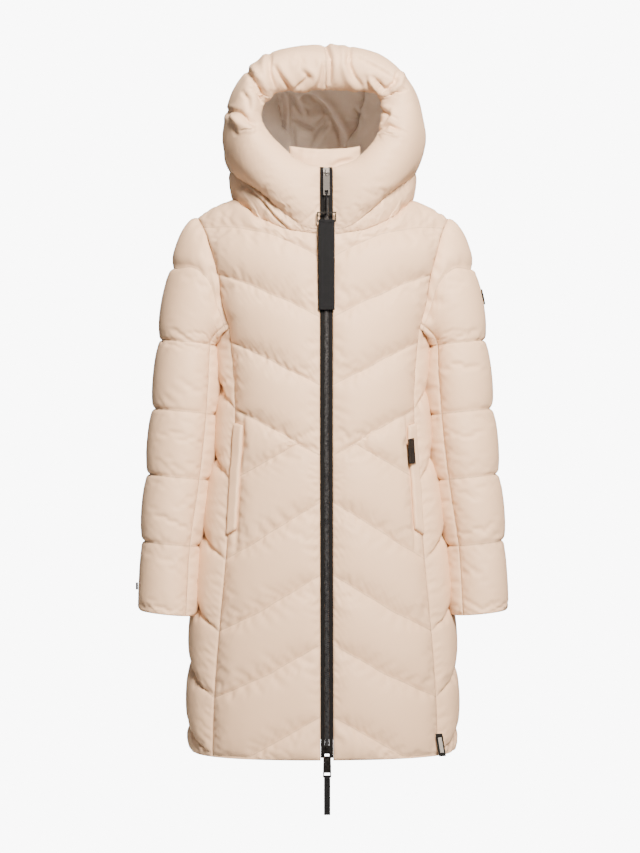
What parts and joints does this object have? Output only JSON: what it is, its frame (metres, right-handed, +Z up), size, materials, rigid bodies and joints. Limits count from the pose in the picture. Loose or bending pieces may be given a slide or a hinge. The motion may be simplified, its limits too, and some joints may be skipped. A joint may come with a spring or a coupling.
{
  "type": "hooded long puffer coat, filled out as worn",
  "caption": "Knee-length quilted puffer coat with a deep padded hood, two-way front zip with pull strap, welt pockets and long sleeves, standing open and hollow as worn.",
  "frame": {"origin": "middle of the neck base, level with the shoulder points, where a wearer's neck comes through", "axes": "+Z up, +X towards the wearer's left, -Y the front with the zip"},
  "size_m": [0.5917, 0.3149, 1.206],
  "materials": {
    "shell_cloth": "soft matt woven shell, warm beige, padded",
    "lining_cloth": "the same woven cloth inside the hood, in shade",
    "zip_tape": "black woven zip tape",
    "zip_chain": "black moulded or coiled zip teeth",
    "zip_metal": "black lacquered zinc",
    "pull_metal": "dark gunmetal plating",
    "webbing": "charcoal woven webbing and cord",
    "label_cloth": "black woven label, bare"
  },
  "bodies": {
    "coat": {"back": "shell_cloth", "collar_left": "shell_cloth", "collar_right": "shell_cloth", "cuff_tab": "label_cloth", "front_left": "shell_cloth", "front_right": "shell_cloth", "hem_label": "label_cloth", "hood_band_left": "shell_cloth", "hood_band_right": "shell_cloth", "hood_centre": "shell_cloth", "hood_lining_centre": "lining_cloth", "hood_lining_left": "lining_cloth", "hood_lining_right": "lining_cloth", "hood_side_left": "shell_cloth", "hood_side_right": "shell_cloth", "inner_collar": "lining_cloth", "pocket_label": "label_cloth", "pocket_welt_left": "shell_cloth", "pocket_welt_right": "shell_cloth", "side_left": "shell_cloth", "side_right": "shell_cloth", "sleeve_badge": "label_cloth", "sleeve_left_under": "shell_cloth", "sleeve_left_upper": "shell_cloth", "sleeve_right_under": "shell_cloth", "sleeve_right_upper": "shell_cloth", "zip_chain": "zip_chain", "zip_slider_bottom": "zip_metal", "zip_slider_top": "zip_metal", "zip_tape_left": "zip_tape", "zip_tape_right": "zip_tape"},
    "top_pull": {"pull_tab_top": "pull_metal", "pull_cord": "webbing"},
    "strap_pull": {"pull_ring": "pull_metal", "pull_strap": "webbing"},
    "bottom_pull": {"pull_tab_bottom": "zip_metal", "pull_strap_bottom": "webbing"}
  },
  "joints": [
    {"name": "top_pull_hinge", "type": "hinge", "parent": "coat", "child": "top_pull", "pos_m": [0, -0.12785, 0.03525], "axis": [-1, 0, 0], "range_deg": [0, 80]},
    {"name": "strap_hinge", "type": "hinge", "parent": "top_pull", "child": "strap_pull", "pos_m": [0, -0.1351, -0.02786], "axis": [-1, 0, 0], "range_deg": [0, 70]},
    {"name": "bottom_pull_hinge", "type": "hinge", "parent": "coat", "child": "bottom_pull", "pos_m": [0, -0.15382, -0.8621], "axis": [-1, 0, 0], "range_deg": [0, 90]}
  ]
}
